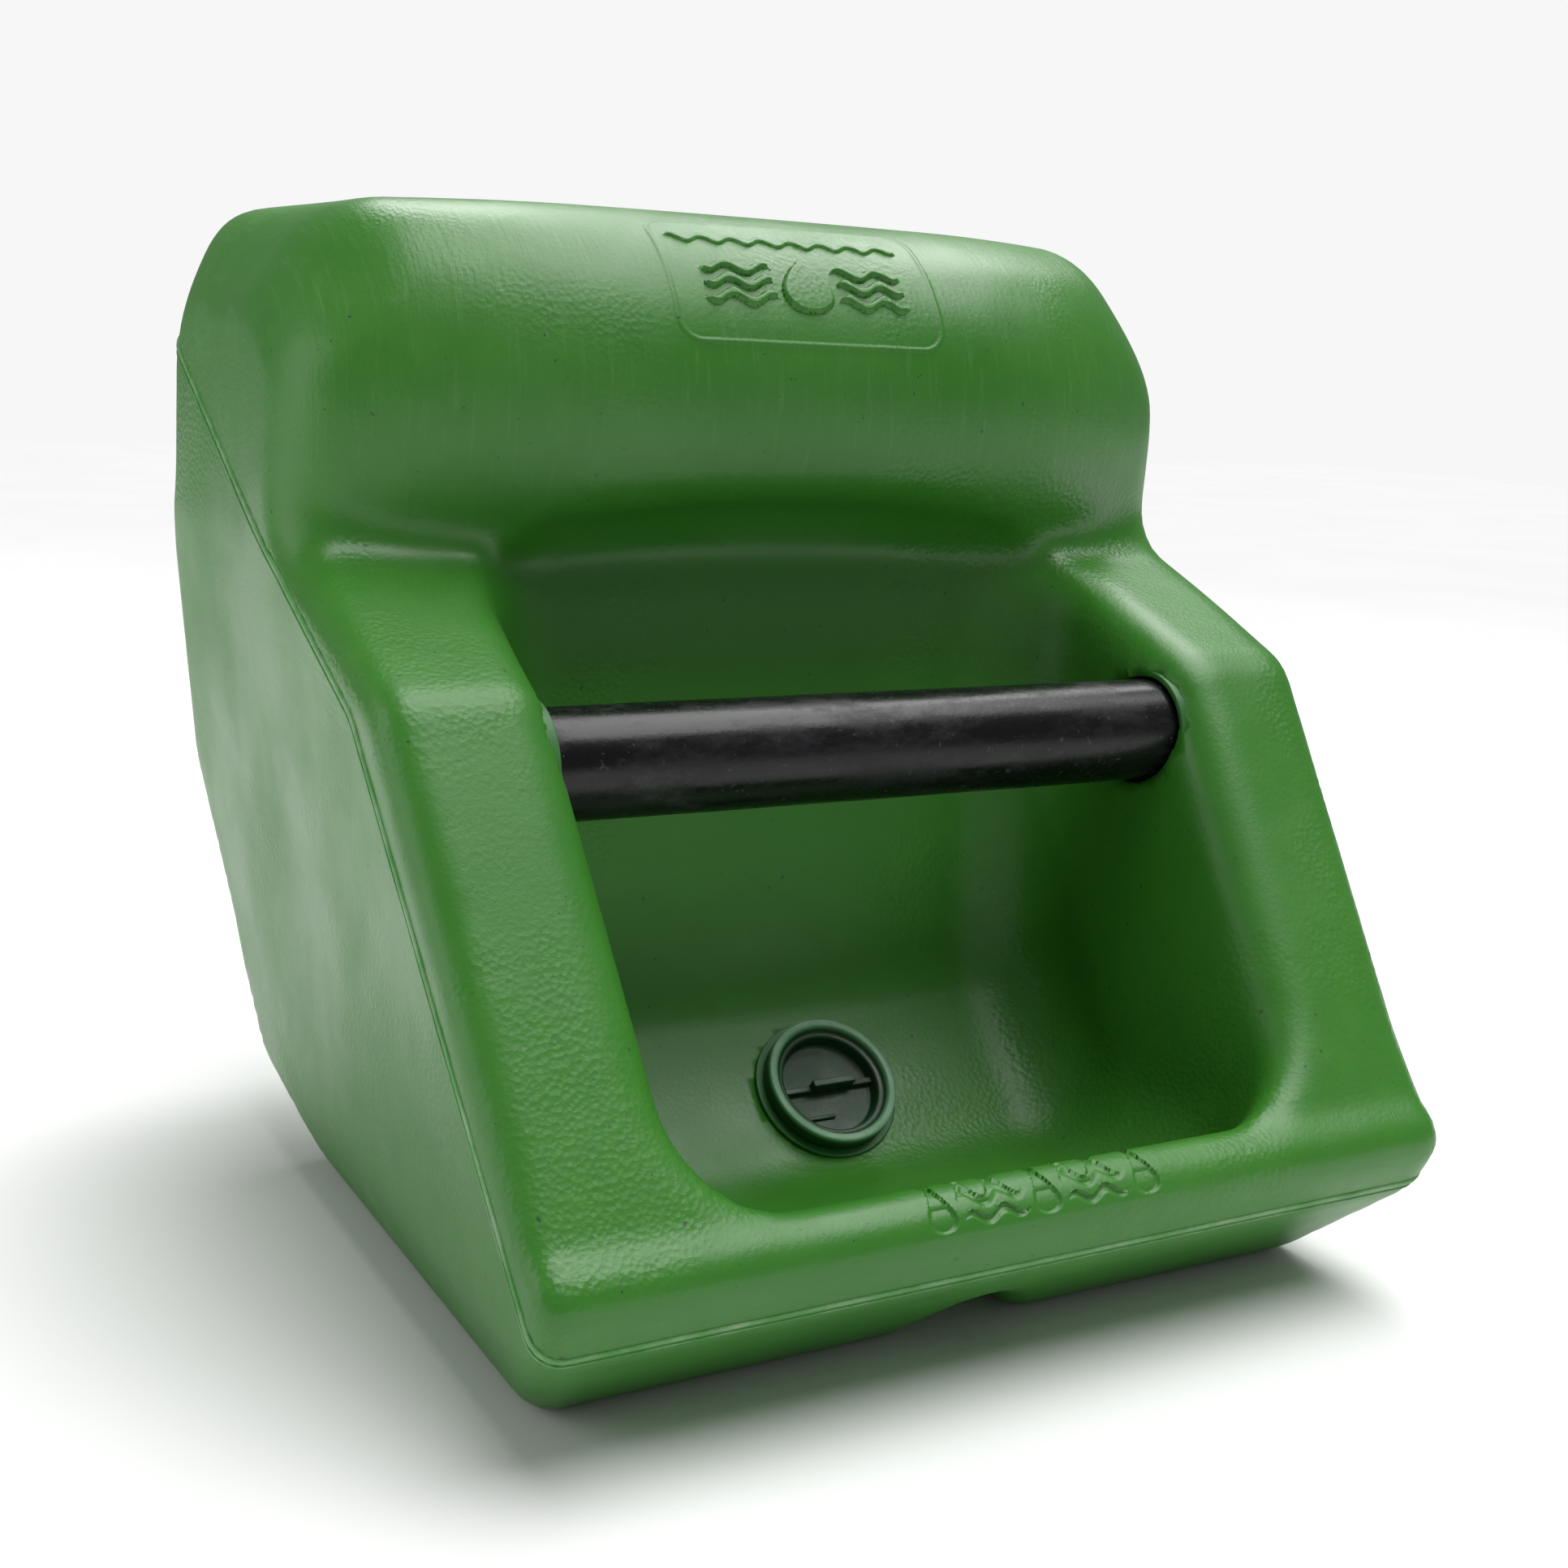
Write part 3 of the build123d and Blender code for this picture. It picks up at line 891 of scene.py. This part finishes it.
def make_sockets():
    """Blind cups behind the bowl's walls that carry the bar's ends."""
    green = plain_plastic("socket_plastic", (0.03, 0.16, 0.025), (0.02, 0.11, 0.018), 0.5)
    wall_x = pocket_width((BAR_AXIS.y - LIP_Y) / MM, BAR_AXIS.z / MM)
    for side, name in ((-1, "left"), (1, "right")):
        node = f"bar_socket_{name}"
        low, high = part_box(node)
        end = max(abs(low.x), abs(high.x)) / MM - CUP_END_GAP
        mouth = wall_x + CUP_SET_BACK
        floor = end - CUP_FLOOR
        section = [(CUP_INNER, mouth), (CUP_OUTER, mouth), (CUP_OUTER, end),
                   (AXIS_GAP, end), (AXIS_GAP, floor), (CUP_INNER, floor)]
        profile = [(r, side * h) for r, h in softened(section, 0.8)]
        origin = Vector((0, BAR_AXIS.y, BAR_AXIS.z))
        piece = make_object(f"bar_cup_{name}", *turned(profile, BAR_BASIS, origin, 72))
        tidy_mesh(piece, 3e-5)
        finished(piece, "root", "socket_green", green, node)


BAR_STATIONS = 60
BAR_WALL = 3.2
BAR_CHAMFER = 0.8
BAR_WAVER = 0.16                    # how uneven the extruded pipe is


def make_bar():
    """The pipe across the bowl, a little uneven along its length and hollow for its end caps."""
    low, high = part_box("crossbar_tube")
    half = high.x / MM
    radius = (high.z - low.z) / 2 / MM
    stations = np.linspace(-half, half, BAR_STATIONS)
    outer = [(radius - 0.12, h) for h in stations]
    for end in (0, -1):
        outer[end] = (radius - 0.12 - BAR_CHAMFER, stations[end])
    inner = [(radius - BAR_WALL, h) for h in stations[::-6]]
    origin = Vector((0, BAR_AXIS.y, BAR_AXIS.z))
    points, faces = turned(outer + inner, BAR_BASIS, origin, 96, wobble=BAR_WAVER)
    piece = make_object("muzzle_bar", points, faces)
    tidy_mesh(piece)
    finished(piece, "crossbar", "bar_black", bar_plastic("bar_plastic"), "crossbar_tube")


# the port and plug, as radii and as heights above the bowl's floor
FLANGE_BORE = 23.4
FLANGE_NECK = 27
FLANGE_RIM = 30.8
FLANGE_TOP = 1.9
RING_OUTER = 28
RING_INNER = 24.4
RING_TOP = 10
RING_SKIRT = 2.9                    # the ring's outer skirt hangs past the washer
RING_UNDER = 4.6
WASHER_EDGE = 27.3
CUP_STEP = 7                        # a narrow ledge round the top of the plug's cup
PLUG_NECK = (20.5, 22.9)            # inside and outside
PLUG_NECK_END = -15
PLUG_FLOOR = (-1.4, 1)              # underside and top


def make_port():
    """The flange on the bowl floor and the plug with its ring rim, cup and stepped grip."""
    section = [(FLANGE_BORE, -20), (FLANGE_NECK, -20), (FLANGE_NECK, 0.2), (FLANGE_RIM, 0.2),
               (FLANGE_RIM, FLANGE_TOP), (FLANGE_BORE, FLANGE_TOP)]
    piece = make_object("port_ring", *turned(softened(section, 0.6), PORT_BASIS, PORT_AT))
    tidy_mesh(piece)
    # painted shade: the flange's green is darker than the body's so it sinks into the shade round the
    # plug's foot
    dark = plain_plastic("port_green_painted_shade", (0.020, 0.15, 0.022), (0.014, 0.12, 0.018), 0.45)
    finished(piece, "root", "port_green", dark, "port_flange")
    bore, neck = PLUG_NECK
    under, floor = PLUG_FLOOR
    section = [(AXIS_GAP, floor), (bore - 0.3, floor), (bore + 0.4, CUP_STEP - 0.1),
               (RING_INNER - 1, CUP_STEP + 0.1), (RING_INNER, RING_TOP),
               (RING_OUTER - 0.1, RING_TOP), (RING_OUTER, RING_SKIRT), (WASHER_EDGE, RING_SKIRT),
               (WASHER_EDGE, RING_UNDER), (neck, RING_UNDER), (neck, PLUG_NECK_END),
               (bore, PLUG_NECK_END), (bore, under), (AXIS_GAP, under)]
    parts = [turned(softened(section, 1.1, 5), PORT_BASIS, PORT_AT, 128)]
    grip = (
        ((41.5, 2.6, 3.2), (0, 0, 2.3)),
        ((19.5, 3.0, 7.4), (1.5, 0.3, 4.2)),
        ((15, 1.6, 1.6), (-8, -12.5, 1.5)),
    )
    for size, centre in grip:
        parts.append(soft_block(size, centre, PORT_BASIS, PORT_AT, 0.55))
    piece = make_object("plug_cap", *joined(parts))
    tidy_mesh(piece, 3e-5)
    green = plug_plastic("plug_plastic")
    finished(piece, "plug", "plug_green", green, "plug_head")


def plug_plastic(name):
    """Grey-green on the rubbed top of the ring; everything lower, down in the cup, is painted shade,
    darker and dirtier.
    """
    material, tree, shader, place = new_material(name, 0.42)
    offset = {0: place, 1: tuple(PORT_AT)}
    from_port = add(tree, "ShaderNodeVectorMath", offset, operation="SUBTRACT").outputs[0]
    along = {0: from_port, 1: tuple(PORT_AXIS)}
    level = add(tree, "ShaderNodeVectorMath", along, operation="DOT_PRODUCT").outputs["Value"]
    # 1 on the rubbed top of the ring, 0 below it, where the colour is painted shade
    wear_and_cup_shade_mask = span(tree, level, 0.0076, 0.0092)
    dirt = span(tree, speckle(tree, place, 90, 5), 0.35, 0.65)
    # painted shade: the cup, its ledge and the ring's sides below the top get a very dark green, with
    # dirt mottled in
    low = blended(tree, dirt, (0.006, 0.055, 0.014), (0.016, 0.042, 0.016))
    high = blended(tree, dirt, (0.11, 0.27, 0.14), (0.14, 0.31, 0.17))
    tree.links.new(blended(tree, wear_and_cup_shade_mask, low, high), shader.inputs["Base Color"])
    rough = span(tree, speckle(tree, place, 60, 3), 0.3, 0.7, 0.36, 0.52)
    tree.links.new(rough, shader.inputs["Roughness"])
    bumps(tree, shader, ((speckle(tree, place, 650, 3), 0.3, 0.0004),))
    return material


def dress_kept_nodes():
    """Materials for the CAD nodes that stay visible."""
    rubber = plain_plastic("seal_rubber", (0.03, 0.03, 0.03), (0.016, 0.016, 0.016), 0.7, 500)
    black = plain_plastic("cap_plastic", (0.03, 0.03, 0.032), (0.018, 0.018, 0.02), 0.5, 400)
    nut = plain_plastic("nut_plastic", (0.05, 0.05, 0.052), (0.03, 0.03, 0.032), 0.48, 350)
    for name in ("port_gasket", "plug_washer"):
        dress_node(name, rubber)
    for name in ("crossbar_cap_left", "crossbar_cap_right"):
        dress_node(name, black)
    dress_node("port_nut", nut)


# ---- studio -------------------------------------------------------------------------------------
# Where the photograph was taken from.
CAMERA_AT = Vector((-0.4058, -0.7286, 0.3516))
CAMERA_RIGHT = Vector((0.87596, -0.48046, 0.04292))
CAMERA_FORWARD = Vector((0.4784, 0.8539, -0.2049))
LENS = 46.58
SENSOR = 36.0
FLOOR_REACH = 6.0
LIGHT_TARGET = (0, 0, 0.2)
AMBIENT = 0.22                      # how strongly the white world lights the object
BACKDROP = 0.93                     # and how bright the camera sees it


def make_camera():
    data = bpy.data.cameras.new("camera")
    data.lens = LENS
    data.sensor_width = SENSOR
    camera = bpy.data.objects.new("camera", data)
    back = -CAMERA_FORWARD.normalized()
    right = (CAMERA_RIGHT - back * CAMERA_RIGHT.dot(back)).normalized()
    up = back.cross(right)
    turn = Matrix((right, up, back)).transposed().to_4x4()
    camera.matrix_world = Matrix.Translation(CAMERA_AT) @ turn
    bpy.context.scene.collection.objects.link(camera)
    bpy.context.scene.camera = camera


def area_light(name, at, size, power):
    """A softbox that faces the object."""
    data = bpy.data.lights.new(name, "AREA")
    data.shape = "RECTANGLE"
    data.size, data.size_y = size
    data.energy = power
    light = bpy.data.objects.new(name, data)
    light.location = at
    light.rotation_euler = (Vector(LIGHT_TARGET) - Vector(at)).to_track_quat("-Z", "Y").to_euler()
    bpy.context.scene.collection.objects.link(light)


def sky_light(name, direction, spread, strength):
    """A far, wide, soft light from one direction, even over the whole floor."""
    data = bpy.data.lights.new(name, "SUN")
    data.angle = spread
    data.energy = strength
    light = bpy.data.objects.new(name, data)
    light.rotation_euler = Vector(direction).to_track_quat("Z", "Y").to_euler()
    bpy.context.scene.collection.objects.link(light)


def make_studio():
    """A pale floor, an even white world and three soft lights."""
    signs = ((-1, -1), (1, -1), (1, 1), (-1, 1))
    corners = [(FLOOR_REACH * x, FLOOR_REACH * y, 0) for x, y in signs]
    floor = make_object("studio_floor", corners, [(0, 1, 2, 3)], smooth=False)
    wear(floor, floor_material())
    world = bpy.data.worlds.new("studio")
    world.use_nodes = True
    background = world.node_tree.nodes["Background"]
    background.inputs["Color"].default_value = (1, 1, 1, 1)
    seen = add(world.node_tree, "ShaderNodeLightPath").outputs["Is Camera Ray"]
    glow = span(world.node_tree, seen, 0, 1, AMBIENT, BACKDROP)
    world.node_tree.links.new(glow, background.inputs["Strength"])
    bpy.context.scene.world = world
    sky_light("overhead", (0.25, -0.12, 1.0), math.radians(50), 2.9)
    area_light("left_softbox", (-1.6, 0.25, 0.7), (1.0, 1.2), 6)
    area_light("rear_softbox", (0.50, 0.75, 1.45), (1.4, 0.6), 15)
    bpy.context.scene.view_settings.view_transform = "Standard"


make_camera()
seam_line = make_shells()
make_seam_bead(seam_line)
make_sockets()
make_bar()
make_port()
dress_kept_nodes()
make_studio()
